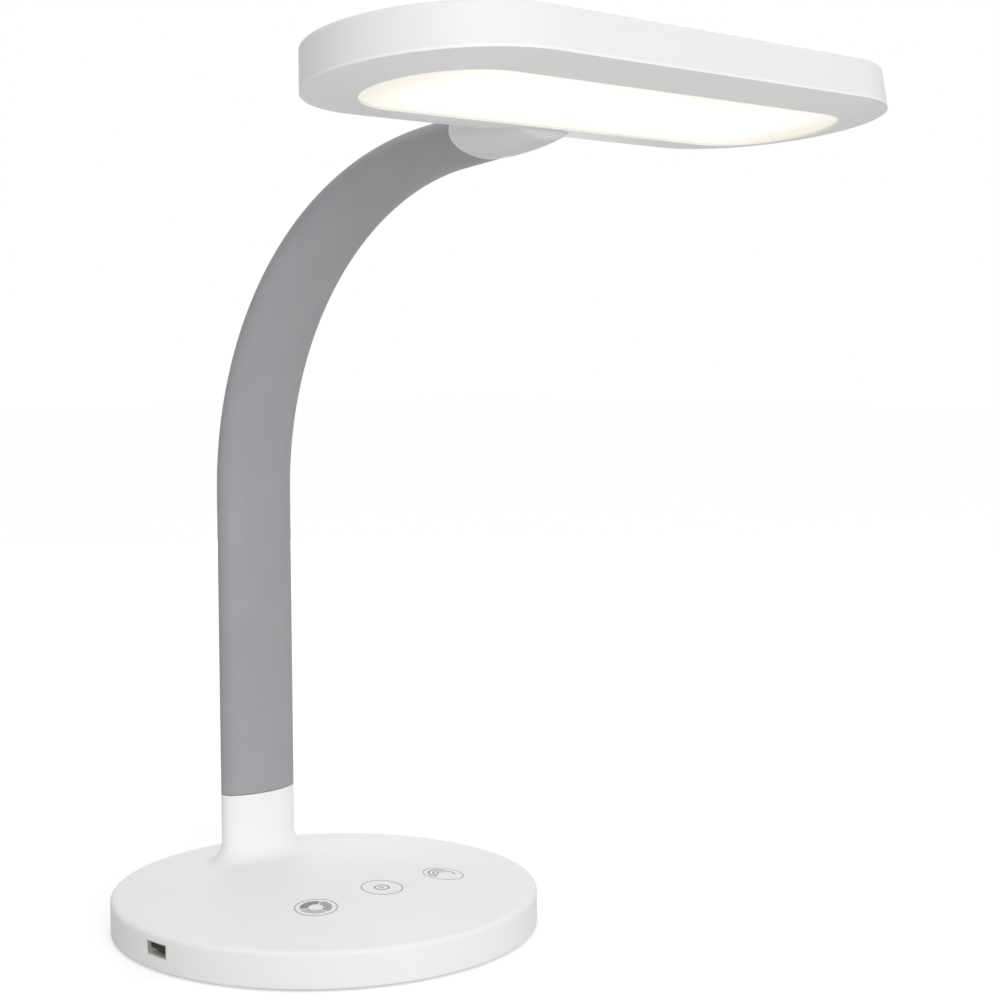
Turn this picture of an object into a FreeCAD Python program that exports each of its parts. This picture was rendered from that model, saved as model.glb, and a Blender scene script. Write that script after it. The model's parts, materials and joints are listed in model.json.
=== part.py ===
import FreeCAD, Part
import math
import os
import Sketcher

# Light therapy desk lamp. A round weighted base with three touch fields carries a flat oval
# gooseneck, and a long slim head hangs from the neck's end with its opal window facing down.
# Millimetres. Origin at the middle of the base on the desk, +Z up, -Y towards the user,
# +X to the user's right.

os.makedirs("parts", exist_ok=True)
doc = FreeCAD.newDocument("therapy_lamp")
sheet = doc.addObject("Spreadsheet::Sheet", "Sizes")

straight_links = 3      # neck joints in the upright run
curved_links = 5        # neck joints in the bend
base_screw_count = 4
base_screw_start = 30   # degrees round the base to the first cover screw
chips_per_bar = 12

sizes = {
    # base housing
    "base_radius": 95, "base_top": 16.2, "top_crown": 8.4, "rim_lift": 0.8, "cover_wall": 2.4,
    "cover_edge_round": 2.2, "rim_edge_round": 0.6, "stem_y": 48.5, "stem_top": 53,
    "stem_wall": 2.4, "stem_flare": 10, "piece_gap": 0.2,
    # screws
    "screw_radius": 1.5, "screw_head_radius": 2.8, "screw_head_thick": 1.2, "pilot_floor": 1,
    "small_screw_radius": 1, "small_head_radius": 1.9, "small_head_thick": 0.9,
    "screw_tip_gap": 0.3, "head_screw_length": 6,
    # parts inside the base
    "plate_thick": 3, "ballast_radius": 84, "ballast_thick": 5, "boss_circle": 72,
    "boss_radius": 3.6, "pad_radius": 86, "pad_thick": 1.4, "room_gap": 1,
    "board_x": 0.2, "board_y": -37.6, "board_length": 100, "board_depth": 30,
    "board_thick": 1.6, "board_screw_inset": 4, "board_corner_round": 3,
    "touch_pad_radius": 7.5, "touch_pad_height": 1.9, "touch_left_x": -36.4,
    "touch_middle_x": 0.2, "touch_right_x": 36.9, "touch_side_y": -37.6, "touch_middle_y": -37.8,
    # sockets in the base wall
    "usb_y": -4.4, "usb_z": 9.7, "usb_width": 13.1, "usb_height": 5.7, "usb_depth": 14,
    "usb_shell_wall": 0.35, "usb_shell_back": 1, "usb_tongue_width": 10.6,
    "usb_tongue_thick": 1.9, "usb_tongue_drop": 0.9, "usb_tongue_short": 1.2,
    "usb_board_width": 26, "usb_board_depth": 18, "usb_board_inset": 3, "usb_post_radius": 2.6,
    "socket_recess": 0.6, "jack_z": 8.3, "jack_width": 9.4, "jack_depth": 13,
    "jack_height": 8.8, "jack_inset": 1.2, "jack_collar_radius": 4.2, "jack_bore_radius": 2.85,
    "jack_bore_depth": 9.5, "jack_pin_radius": 1, "jack_pin_short": 1,
    # neck
    "neck_width": 39.7, "neck_thick": 18.6, "straight_top": 191.2, "bend_radius": 148.6,
    "bend_angle": 82.8, "end_run": 22.3, "tube_pitch": 17, "tube_radius": 4.25,
    "tube_bore_radius": 2.2, "tube_gap": 2.6, "tube_clearance": 0.3, "lead_radius": 1.3,
    "lead_clearance": 0.4, "lead_lift": 1, "lead_reach": 30,
    "anchor_flange_length": 62, "anchor_flange_depth": 36, "anchor_flange_thick": 2,
    "anchor_corner_round": 5, "anchor_screw_inset": 3.8, "anchor_top": 47,
    "fitting_length": 16.5, "fitting_side_wall": 2.5, "fitting_wall": 2, "tongue_width": 26,
    "tongue_thick": 2.5, "tongue_reach": 42, "tongue_root": 5, "tongue_screw_pitch": 8.7,
    "tongue_screw_inset": 4.8,
    # head, in its own tilted frame: middle of the lower edge, Z up through the head
    "head_y": -174, "head_z": 347.2, "head_tilt": 6.6, "head_length": 274.2,
    "head_depth": 102.6, "head_height": 15.7, "head_draft": 4, "head_wall": 2,
    "head_edge_round": 1.6, "bezel_edge": 1, "bezel_width": 19.7, "bezel_drop": 2.6,
    "bezel_lip": 1.6, "bezel_rim_height": 3, "bezel_rim_thick": 1.5, "window_rebate": 3.7,
    "diffuser_flange": 1.4, "diffuser_recess": 0.8, "diffuser_gap": 0.15,
    "diffuser_edge_round": 0.4, "guide_thick": 3, "reflector_thick": 0.4,
    "spreader_thick": 1.5, "spreader_lip": 1.4, "lip_margin": 3, "web_overlap": 4,
    "bar_thick": 1.2, "bar_length": 160, "chip_thick": 0.7, "chip_width": 3,
    "chip_height": 2, "chip_pitch": 13, "head_boss_radius": 3, "head_boss_x": 62,
    "head_boss_y": 22,
    # fairing between neck and head: how far its underside rises on the way to the tip
    "collar_mid_width": 37.2, "collar_tip_width": 33, "collar_rise": -0.2,
    "collar_tip_rise": 1.7, "collar_tip_inset": 15.2, "collar_tip_round": 3.4,
    "tongue_slot_depth": 16,
}
for row, (name, value) in enumerate(sizes.items(), 1):
    sheet.set(f"A{row}", name)
    sheet.set(f"B{row}", str(value))
    sheet.setAlias(f"B{row}", name)
doc.recompute()

parts = {}

# ---- helpers ------------------------------------------------------------------------------


def bind(thing, **expressions):
    """Ties properties to the sheet; in the text, $name stands for a cell."""
    for key, text in expressions.items():
        thing.setExpression(key.replace("__", "."), str(text).replace("$", "Sizes."))


upright = "rotation(vector(1; 0; 0); 0)"


def at(x, y, z, turn=upright):
    """Expression for a placement."""
    return f"placement(vector({x}; {y}; {z}); {turn})"


here = at(0, 0, 0)


def in_frame(frame, x, y, z, turn=upright):
    """Expression for a placement inside another frame."""
    return f"{frame} * {at(x, y, z, turn)}"


def cylinder(name, radius, height, x=0, y=0, z=0, turn=upright, frame=here):
    made = doc.addObject("Part::Cylinder", name)
    bind(made, Radius=radius, Height=height, Placement=in_frame(frame, x, y, z, turn))
    return made


def box(name, length, depth, height, x=0, y=0, z=0, frame=here):
    """A block centred on x and y that stands on z."""
    made = doc.addObject("Part::Box", name)
    corner = in_frame(frame, f"{x} - ({length}) / 2", f"{y} - ({depth}) / 2", z)
    bind(made, Length=length, Width=depth, Height=height, Placement=corner)
    return made


def ellipse(name, width, thick, frame):
    made = doc.addObject("Part::Ellipse", name)
    bind(made, MajorRadius=f"({width}) / 2", MinorRadius=f"({thick}) / 2", Placement=frame)
    return made


def oval_bar(name, width, thick, length, frame):
    """A straight bar of oval section along its frame's Z."""
    made = doc.addObject("Part::Extrusion", name)
    made.Base = ellipse(name + "_section", width, thick, here)
    made.DirMode = "Custom"
    made.Dir = (0, 0, 1)
    made.Solid = True
    bind(made, LengthFwd=length, Placement=frame)
    return made


def fuse(name, *pieces):
    made = doc.addObject("Part::MultiFuse", name)
    made.Shapes = list(pieces)
    return made


def cut(name, base, *tools):
    made = doc.addObject("Part::Cut", name)
    made.Base = base
    made.Tool = tools[0] if len(tools) == 1 else fuse(name + "_tools", *tools)
    return made


def group(name, pieces):
    """Several like pieces kept as separate solids of one part."""
    made = doc.addObject("Part::Compound", name)
    made.Links = list(pieces)
    return made


def round_edges(name, base, radius, chosen):
    """Fillets the edges of base for which chosen(edge) is true."""
    doc.recompute()
    made = doc.addObject("Part::Fillet", name)
    made.Base = base
    value = float(sheet.get(radius))
    made.Edges = [(i, value, value) for i, e in enumerate(base.Shape.Edges, 1) if chosen(e)]
    return made


def keep(name, made):
    """Names a finished part."""
    made.Label = name
    parts[name] = made
    return made


def new_body(name):
    return doc.addObject("PartDesign::Body", name)


def new_sketch(body, name, plane="XY_Plane", lift="0"):
    made = body.newObject("Sketcher::SketchObject", name)
    origin = next(o for o in body.Origin.OriginFeatures if o.Role == plane)
    made.AttachmentSupport = (origin, "")
    made.MapMode = "FlatFace"
    bind(made, AttachmentOffset__Base__z=lift)
    return made


def current(expression):
    """Present value of an expression over the sheet."""
    return float(sheet.evalExpression(str(expression).replace("$", "Sizes.")))


def limit(sketch, kind, expression, *where):
    """A dimension of a sketch, tied to the sheet."""
    index = sketch.addConstraint(Sketcher.Constraint(kind, *where, current(expression)))
    bind(sketch, **{f"Constraints[{index}]": expression})


def circle(sketch, radius, x="0", y="0"):
    """A circle whose centre is x, y from the sketch's origin."""
    centre = FreeCAD.Vector(current(x), current(y), 0)
    index = sketch.addGeometry(Part.Circle(centre, FreeCAD.Vector(0, 0, 1), current(radius)))
    limit(sketch, "Radius", radius, index)
    for kind, value in (("DistanceX", x), ("DistanceY", y)):
        limit(sketch, kind, value, -1, 1, index, 3)


def stadium(sketch, length, depth):
    """A long slot outline with round ends, centred on the sketch's origin."""
    radius = current(depth) / 2
    reach = current(length) / 2 - radius
    top, low = FreeCAD.Vector(0, radius, 0), FreeCAD.Vector(0, -radius, 0)
    out = FreeCAD.Vector(reach, 0, 0)
    up = FreeCAD.Vector(0, 0, 1)
    quarter = math.pi / 2
    g = sketch.addGeometry(Part.LineSegment(top - out, top + out))
    sketch.addGeometry(Part.ArcOfCircle(Part.Circle(out, up, radius), -quarter, quarter))
    sketch.addGeometry(Part.LineSegment(low + out, low - out))
    sketch.addGeometry(Part.ArcOfCircle(Part.Circle(-out, up, radius), quarter, 3 * quarter))
    joints = ((g, 2, g + 1, 2), (g + 1, 1, g + 2, 1), (g + 2, 2, g + 3, 2), (g + 3, 1, g, 1))
    for joint in joints:
        sketch.addConstraint(Sketcher.Constraint("Tangent", *joint))
    sketch.addConstraint(Sketcher.Constraint("PointOnObject", g + 1, 3, -1))
    sketch.addConstraint(Sketcher.Constraint("PointOnObject", g + 3, 3, -1))
    sketch.addConstraint(Sketcher.Constraint("Equal", g + 1, g + 3))
    limit(sketch, "Radius", f"({depth}) / 2", g + 1)
    limit(sketch, "DistanceX", f"(({length}) - ({depth})) / 2", -1, 1, g + 1, 3)
    limit(sketch, "DistanceX", f"(({length}) - ({depth})) / 2", g + 3, 3, -1, 1)


def feature(body, kind, name, profile, length, down=False, taper="0"):
    """A pad or pocket of a sketch: pads go up and pockets go down unless turned round."""
    made = body.newObject(f"PartDesign::{kind}", name)
    made.Profile = profile
    made.Reversed = down
    bind(made, Length=length, TaperAngle=taper)
    return made


def round_body_edges(body, name, radius, chosen):
    doc.recompute()
    base = body.Tip
    made = body.newObject("PartDesign::Fillet", name)
    names = [f"Edge{i}" for i, e in enumerate(base.Shape.Edges, 1) if chosen(e)]
    made.Base = (base, names)
    bind(made, Radius=radius)
    return made


def around(body, name, source, count):
    """Repeats a feature round the body's Z axis."""
    made = body.newObject("PartDesign::PolarPattern", name)
    made.Originals = [source]
    made.Axis = (next(o for o in body.Origin.OriginFeatures if o.Role == "Z_Axis"), [""])
    made.Angle = 360
    made.Occurrences = count
    body.Tip = made
    return made


def level(edge, height, slack=0.01):
    """True for an edge that lies flat at one height."""
    limits = edge.BoundBox
    return abs(limits.ZMin - height) < slack and abs(limits.ZMax - height) < slack


def upright_edge(edge, slack=0.01):
    """True for an edge that stands straight up."""
    limits = edge.BoundBox
    return limits.XLength < slack and limits.YLength < slack


# ---- frames and levels that several parts share -------------------------------------------

neck_foot = at(0, "$stem_y", 0)
bend_end_y = "$stem_y - $bend_radius + $bend_radius * cos($bend_angle)"
bend_end_z = "$straight_top + $bend_radius * sin($bend_angle)"
neck_end = at(0, bend_end_y, bend_end_z, "rotation(vector(1; 0; 0); $bend_angle)")
head = at(0, "$head_y", "$head_z", "rotation(vector(1; 0; 0); -$head_tilt)")
facing_front = "rotation(vector(1; 0; 0); 90)"
facing_back = "rotation(vector(1; 0; 0); -90)"

plate_top = "($rim_lift + $plate_thick)"
ballast_low = f"({plate_top} + $piece_gap)"
ballast_high = f"({ballast_low} + $ballast_thick)"
cover_under = "($base_top - $cover_wall)"
crown_radius = "(($base_radius ^ 2 + $top_crown ^ 2) / (2 * $top_crown))"
crown_middle = f"($base_top + $top_crown - {crown_radius})"
board_high = f"({cover_under} - $touch_pad_height)"
board_low = f"({board_high} - $board_thick)"
straight_pitch = f"(($straight_top - $stem_top) / {straight_links})"
curved_pitch = f"($bend_angle / {curved_links})"
half_gap_angle = "($tube_gap / 2 / $bend_radius * 180 / pi)"
tube_x = "($tube_pitch / 2)"
wall_reach = "(4 * $cover_wall)"
cover_screw_x = f"$boss_circle * cos({base_screw_start})"
cover_screw_y = f"$boss_circle * sin({base_screw_start})"
touch_places = (("$touch_left_x", "$touch_side_y"), ("$touch_middle_x", "$touch_middle_y"),
                ("$touch_right_x", "$touch_side_y"))

ring_y = f"({bend_end_y} - $end_run * sin($bend_angle) - $head_y)"
ring_z = f"({bend_end_z} + $end_run * cos($bend_angle) - $head_z)"
ring_height = f"({ring_y} * sin($head_tilt) + {ring_z} * cos($head_tilt))"

lip_top = "($bezel_lip - $bezel_drop)"
guide_low = f"({lip_top} + $diffuser_flange + $diffuser_gap)"
guide_high = f"({guide_low} + $guide_thick)"
reflector_high = f"({guide_high} + $reflector_thick)"
spreader_low = f"({reflector_high} + $diffuser_gap)"
spreader_high = f"({spreader_low} + $spreader_thick)"
guide_inset = "($bezel_width - $window_rebate + $diffuser_gap)"
guide_depth = f"($head_depth - 2 * {guide_inset})"
bar_inner = f"({guide_depth} / 2 + $diffuser_gap + $chip_thick)"
bar_low = "($bezel_edge + $diffuser_gap)"
bar_height = f"({spreader_low} - {bar_low} - $diffuser_gap)"
lip_inner = f"({bar_inner} + $bar_thick + $diffuser_gap)"
lip_length = "($bar_length + 2 * $lip_margin)"
fitting_width = "($tube_pitch + 2 * $tube_radius + 2 * $fitting_side_wall)"
fitting_thick = "(2 * $tube_radius + 2 * $fitting_wall)"
tongue_start = "($head_depth / 2 + $tongue_root)"


def neck_run(name, radius, x, low, high):
    """A round bar along the neck's whole line, from height low to high past the bend's end."""
    foot = cylinder(name + "_foot", radius, f"$straight_top - ({low})", x, "$stem_y", low)
    bend = neck_arc(name + "_bend", radius, x, "0", "$bend_angle")
    top = cylinder(name + "_top", radius, high, x, 0, 0, frame=neck_end)
    return fuse(name, foot, bend, top)


def neck_arc(name, radius, x, start, sweep):
    """A round bar along part of the bend."""
    made = doc.addObject("Part::Torus", name)
    bind(made, Radius1="$bend_radius", Radius2=radius, Angle3=sweep)
    turn = f"rotation(vector(1; 0; 0); {start}) * rotation(vector(1; 1; 1); 120)"
    bind(made, Placement=at(x, "$stem_y - $bend_radius", "$straight_top", turn))
    return made


# ---- base: cover with the neck's stem -----------------------------------------------------


def cover_corners():
    """Number and x, y of the cover's screw bosses."""
    for i in range(base_screw_count):
        angle = base_screw_start + i * 360 / base_screw_count
        yield i, f"$boss_circle * cos({angle})", f"$boss_circle * sin({angle})"


def four_corners(x, y, reach_x, reach_y):
    """Number and x, y of the four corners round a middle."""
    for i, (right, back) in enumerate(((-1, -1), (1, -1), (1, 1), (-1, 1))):
        yield i, f"{x} + {right} * ({reach_x})", f"{y} + {back} * ({reach_y})"


def board_corners():
    return four_corners("$board_x", "$board_y", "$board_length / 2 - $board_screw_inset",
                        "$board_depth / 2 - $board_screw_inset")


def anchor_corners():
    return four_corners("0", "$stem_y", "$anchor_flange_length / 2 - $anchor_screw_inset",
                        "$anchor_flange_depth / 2 - $anchor_screw_inset")


def crowned(name, blank, depth):
    """What of blank lies under the cover's crowned top, depth below its surface."""
    ball = doc.addObject("Part::Sphere", name + "_crown")
    bind(ball, Radius=f"{crown_radius} - {depth}", Placement=at(0, 0, crown_middle))
    made = doc.addObject("Part::MultiCommon", name)
    made.Shapes = [blank, ball]
    return made


def ceiling(x, y):
    """Height of the middle of the cover's crowned wall over a place in the base."""
    fall = f"(({x}) ^ 2 + ({y}) ^ 2) / $base_radius ^ 2"
    return f"($base_top - $cover_wall / 2 + $top_crown * (1 - {fall}))"


def cover_outside():
    """Round crowned cover with its stem, flared where they meet."""
    top = current("$base_top")
    foot = current("$rim_lift")
    blank = cylinder("cover_disc", "$base_radius", "$base_top + $top_crown - $rim_lift",
                     0, 0, "$rim_lift")
    disc = crowned("cover_crowned", blank, 0)
    rounded = round_edges("cover_rim", disc, "cover_edge_round", lambda e: level(e, top))
    rounded = round_edges("cover_foot", rounded, "rim_edge_round", lambda e: level(e, foot))
    stem = oval_bar("stem", "$neck_width", "$neck_thick", f"$stem_top - {cover_under}",
                    at(0, "$stem_y", cover_under))
    joined = fuse("cover_with_stem", rounded, stem)
    widest = current("$neck_width")
    below_end = current("$stem_top - $stem_wall")
    return round_edges("stem_flare", joined, "stem_flare",
                       lambda e: (e.BoundBox.XMax < widest and e.BoundBox.ZMin > top
                                  and e.BoundBox.ZMax < below_end))


def base_cover():
    room = cylinder("cover_room", "$base_radius - $cover_wall", f"{cover_under} + $top_crown")
    hollow = crowned("cover_hollow", room, "$cover_wall")
    bore = oval_bar("stem_bore", "$neck_width - 2 * $stem_wall", "$neck_thick - 2 * $stem_wall",
                    "$stem_top", neck_foot)
    shell = cut("cover_shell", cover_outside(), hollow, bore)
    bosses = [cylinder(f"cover_boss_{i}", "$boss_radius", f"{ceiling(x, y)} - {plate_top}",
                       x, y, plate_top)
              for i, x, y in cover_corners()]
    bosses += [cylinder(f"board_boss_{i}", "$small_head_radius", f"{ceiling(x, y)} - {board_high}",
                        x, y, board_high)
               for i, x, y in board_corners()]
    pilots = [cylinder(f"cover_pilot_{i}", "$screw_radius",
                       f"{cover_under} - {plate_top} - $pilot_floor", x, y, plate_top)
              for i, x, y in cover_corners()]
    pilots += [cylinder(f"board_pilot_{i}", "$small_screw_radius", "$touch_pad_height", x, y, board_high)
               for i, x, y in board_corners()]
    usb_hole = box("usb_hole", wall_reach, "$usb_width + 2 * $piece_gap",
                   "$usb_height + 2 * $piece_gap", "-$base_radius", "$usb_y",
                   "$usb_z - $usb_height / 2 - $piece_gap")
    jack_hole = cylinder("jack_hole", "$jack_collar_radius + $piece_gap", wall_reach,
                         0, f"$base_radius - {wall_reach} / 2", "$jack_z", facing_back)
    return cut("base_cover", fuse("cover_bossed", shell, *bosses), usb_hole, jack_hole, *pilots)


def base_plate():
    """Bottom plate with a seat for the foot pad and posts under the charging socket's board."""
    body = new_body("base_plate")
    outline = new_sketch(body, "plate_outline", lift="$rim_lift")
    circle(outline, "$base_radius - $cover_wall - $piece_gap")
    feature(body, "Pad", "plate_disc", outline, "$plate_thick")
    posts = new_sketch(body, "post_outline", lift=plate_top)
    for side in (-1, 1):
        circle(posts, "$usb_post_radius", usb_board_x,
               f"$usb_y + {side} * ($usb_board_width / 2 - $boss_radius)")
    feature(body, "Pad", "usb_posts", posts, f"{usb_board_low} - {plate_top}")
    seat = new_sketch(body, "pad_outline", lift="$rim_lift")
    circle(seat, "$pad_radius + $piece_gap")
    doc.recompute()
    feature(body, "Pocket", "pad_seat", seat, "$pad_thick - $rim_lift", down=True)
    doc.recompute()
    hole = new_sketch(body, "screw_outline", lift="$rim_lift")
    circle(hole, "$screw_radius + $piece_gap", cover_screw_x, cover_screw_y)
    drilled = feature(body, "Pocket", "screw_hole", hole, "$plate_thick", down=True)
    around(body, "screw_holes", drilled, base_screw_count)
    doc.recompute()
    sink = new_sketch(body, "sink_outline", lift="$rim_lift")
    circle(sink, "$screw_head_radius + $piece_gap", cover_screw_x, cover_screw_y)
    sunk = feature(body, "Pocket", "screw_sink", sink,
                   "$pad_thick - $rim_lift + $screw_head_thick", down=True)
    around(body, "screw_sinks", sunk, base_screw_count)
    return body


def ballast_plate():
    """Steel disc with cut-outs for the sockets and holes for the cover's bosses."""
    disc = cylinder("ballast_disc", "$ballast_radius", "$ballast_thick", 0, 0, ballast_low)
    usb_reach = "($cover_wall + $usb_board_inset + $usb_board_depth + $room_gap)"
    usb_room = box("ballast_usb_room", f"2 * {usb_reach}", "$usb_board_width + 2 * $room_gap",
                   "$ballast_thick", "-$base_radius", "$usb_y", ballast_low)
    jack_reach = "($cover_wall + $jack_inset + $jack_depth + $room_gap)"
    jack_room = box("ballast_jack_room", "$jack_width + 2 * $room_gap", f"2 * {jack_reach}",
                    "$ballast_thick", 0, "$base_radius", ballast_low)
    holes = [cylinder(f"ballast_hole_{i}", "$boss_radius + $piece_gap", "$ballast_thick",
                      x, y, ballast_low)
             for i, x, y in cover_corners()]
    taps = [cylinder(f"ballast_tap_{i}", "$screw_radius", "$ballast_thick", x, y, ballast_low)
            for i, x, y in anchor_corners()]
    return cut("ballast_plate", disc, usb_room, jack_room, *holes, *taps)


def screw(name, shank_radius, shank, head_radius, head_thick, x, y, z, up=True, frame=here):
    """A pan-head screw: z is the seat of the head, and the shank goes up or down from it."""
    turn = upright if up else "rotation(vector(1; 0; 0); 180)"
    seat = in_frame(frame, x, y, z, turn)
    shaft = cylinder(name + "_shank", shank_radius, shank, frame=seat)
    cap = cylinder(name + "_head", head_radius, head_thick, 0, 0, f"-({head_thick})", frame=seat)
    return fuse(name, shaft, cap)


def neck_anchor():
    """Flanged steel post inside the stem that holds the lower ends of the two flex tubes."""
    blank = box("anchor_flange_blank", "$anchor_flange_length", "$anchor_flange_depth",
                "$anchor_flange_thick", 0, "$stem_y", ballast_high)
    flange = round_edges("anchor_flange", blank, "anchor_corner_round", upright_edge)
    post = oval_bar("anchor_post", "$neck_width - 2 * $stem_wall - 2 * $piece_gap",
                    "$neck_thick - 2 * $stem_wall - 2 * $piece_gap", f"$anchor_top - {ballast_high}",
                    at(0, "$stem_y", ballast_high))
    bores = [cylinder(f"anchor_bore_{i}", "$tube_radius", "$stem_top", f"{side} * {tube_x}",
                      "$stem_y", ballast_high)
             for i, side in enumerate((-1, 1))]
    lead_bore = cylinder("anchor_lead_bore", "$lead_radius + $lead_clearance", "$stem_top",
                         0, "$stem_y", ballast_high)
    holes = [cylinder(f"anchor_hole_{i}", "$screw_radius", "$anchor_flange_thick", x, y, ballast_high)
             for i, x, y in anchor_corners()]
    return cut("neck_anchor", fuse("anchor_blank", flange, post), *bores, lead_bore, *holes)


def control_board():
    blank = box("board_blank", "$board_length", "$board_depth", "$board_thick", "$board_x", "$board_y",
                board_low)
    holes = [cylinder(f"board_hole_{i}", "$small_screw_radius", "$board_thick", x, y, board_low)
             for i, x, y in board_corners()]
    return cut("control_board", round_edges("board_outline", blank, "board_corner_round", upright_edge),
               *holes)


# ---- sockets ------------------------------------------------------------------------------

usb_mouth = "(-$base_radius + $socket_recess)"
usb_low = "($usb_z - $usb_height / 2)"
usb_board_low = f"({usb_low} - $board_thick)"
usb_board_x = "(-$base_radius + $cover_wall + $usb_board_inset + $usb_board_depth / 2)"
jack_front = "($base_radius - $cover_wall - $jack_inset)"
jack_mouth = "($base_radius - $socket_recess)"


def usb_shell():
    outer = box("usb_outer", "$usb_depth", "$usb_width", "$usb_height", f"{usb_mouth} + $usb_depth / 2",
                "$usb_y", usb_low)
    inner = box("usb_inner", "$usb_depth", "$usb_width - 2 * $usb_shell_wall",
                "$usb_height - 2 * $usb_shell_wall", f"{usb_mouth} + $usb_depth / 2 - $usb_shell_back",
                "$usb_y", f"{usb_low} + $usb_shell_wall")
    return cut("usb_shell", outer, inner)


def usb_tongue():
    length = "($usb_depth - $usb_shell_back - $usb_tongue_short)"
    return box("usb_tongue", length, "$usb_tongue_width", "$usb_tongue_thick",
               f"{usb_mouth} + $usb_tongue_short + {length} / 2", "$usb_y",
               f"{usb_low} + $usb_height - $usb_shell_wall - $usb_tongue_drop - $usb_tongue_thick")


def dc_jack():
    block = box("jack_block", "$jack_width", "$jack_depth", "$jack_height", 0,
                f"{jack_front} - $jack_depth / 2", "$jack_z - $jack_height / 2")
    collar = cylinder("jack_collar", "$jack_collar_radius", f"{jack_mouth} - {jack_front} + $jack_inset",
                      0, f"{jack_front} - $jack_inset", "$jack_z", facing_back)
    bore = cylinder("jack_bore", "$jack_bore_radius", "$jack_bore_depth", 0,
                    f"{jack_mouth} - $jack_bore_depth", "$jack_z", facing_back)
    return cut("dc_jack", fuse("jack_blank", block, collar), bore)


def dc_jack_pin():
    return cylinder("dc_jack_pin", "$jack_pin_radius", "$jack_bore_depth - $jack_pin_short", 0,
                    f"{jack_mouth} - $jack_bore_depth", "$jack_z", facing_back)


# ---- neck ---------------------------------------------------------------------------------


def neck_sleeve():
    """Silicone sleeve over both flex tubes, upright, then bent, then straight into the head."""
    low = "($stem_top + $piece_gap)"
    foot = oval_bar("sleeve_foot", "$neck_width", "$neck_thick", f"$straight_top - {low}",
                    at(0, "$stem_y", low))
    bend = doc.addObject("Part::Revolution", "sleeve_bend")
    bend.Source = ellipse("sleeve_bend_section", "$neck_width", "$neck_thick",
                          at(0, "$stem_y", "$straight_top"))
    bend.Axis = (1, 0, 0)
    bend.Solid = True
    bind(bend, Base__y="$stem_y - $bend_radius", Base__z="$straight_top", Angle="$bend_angle")
    top = oval_bar("sleeve_top", "$neck_width", "$neck_thick", "$end_run - $piece_gap", neck_end)
    radius = "$tube_radius + $tube_clearance"
    channels = [neck_run(f"sleeve_channel_{i}", radius, f"{side} * {tube_x}", "$stem_top", "$end_run")
                for i, side in enumerate((-1, 1))]
    lead = neck_run("sleeve_lead_channel", "$lead_radius + $lead_clearance", "0", "$stem_top", "$end_run")
    return cut("neck_sleeve", fuse("sleeve_outer", foot, bend, top), *channels, lead)


def straight_tubes(name, low, length, frame):
    """The two flex tubes of one straight neck link."""
    pair = []
    for i, side in enumerate((-1, 1)):
        x = f"{side} * {tube_x}"
        wall = cylinder(f"{name}_wall_{i}", "$tube_radius", length, x, 0, low, frame=frame)
        bore = cylinder(f"{name}_bore_{i}", "$tube_bore_radius", length, x, 0, low, frame=frame)
        pair.append(cut(f"{name}_tube_{i}", wall, bore))
    return group(name, pair)


def curved_tubes(name, start, sweep):
    """The two flex tubes of one bent neck link."""
    pair = []
    for i, side in enumerate((-1, 1)):
        x = f"{side} * {tube_x}"
        wall = neck_arc(f"{name}_wall_{i}", "$tube_radius", x, start, sweep)
        bore = neck_arc(f"{name}_bore_{i}", "$tube_bore_radius", x, start, sweep)
        pair.append(cut(f"{name}_tube_{i}", wall, bore))
    return group(name, pair)


def flex_tubes():
    """One pair of tube lengths for each stiff link of the neck, parted at the bending points."""
    foot = f"({ballast_high} + $anchor_flange_thick)"
    first = f"$stem_top + {straight_pitch} - $tube_gap / 2 - {foot}"
    keep("flex_tube_base", straight_tubes("flex_tube_base", foot, first, neck_foot))
    for i in range(1, straight_links):
        low = f"$stem_top + {i} * {straight_pitch} + $tube_gap / 2"
        length = f"{straight_pitch} - $tube_gap"
        keep(f"flex_tube_{i}", straight_tubes(f"flex_tube_{i}", low, length, neck_foot))
    for i in range(curved_links):
        name = f"flex_tube_{straight_links + i}"
        start = f"{i} * {curved_pitch} + {half_gap_angle}"
        keep(name, curved_tubes(name, start, f"{curved_pitch} - 2 * {half_gap_angle}"))
    last = "$end_run + $fitting_length / 2 - $tube_gap / 2"
    keep("flex_tube_head", straight_tubes("flex_tube_head", "$tube_gap / 2", last, neck_end))


# ---- head ---------------------------------------------------------------------------------


def inset(sketch, distance):
    """The head's outline, drawn in by a distance all round."""
    stadium(sketch, f"$head_length - 2 * ({distance})", f"$head_depth - 2 * ({distance})")


def head_outer(body):
    """The head's whole outer form: drafted wall, and the bezel's slope down to the window."""
    wall = new_sketch(body, body.Name + "_wall")
    inset(wall, "0")
    feature(body, "Pad", body.Name + "_block", wall, "$head_height", taper="-$head_draft")
    bezel_slope(body)


def bezel_slope(body):
    rim = new_sketch(body, body.Name + "_slope_top")
    inset(rim, "0")
    lip = new_sketch(body, body.Name + "_slope_low", lift="-$bezel_drop")
    inset(lip, "$bezel_width")
    doc.recompute()
    slope = body.newObject("PartDesign::AdditiveLoft", body.Name + "_slope")
    slope.Profile = rim
    slope.Sections = [lip]
    slope.Ruled = True
    return slope


def head_body(name):
    body = new_body(name)
    bind(body, Placement=head)
    return body


def rise_inset(height):
    """How far the drafted wall has come in at a height."""
    return f"({height}) * tan($head_draft)"


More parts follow.
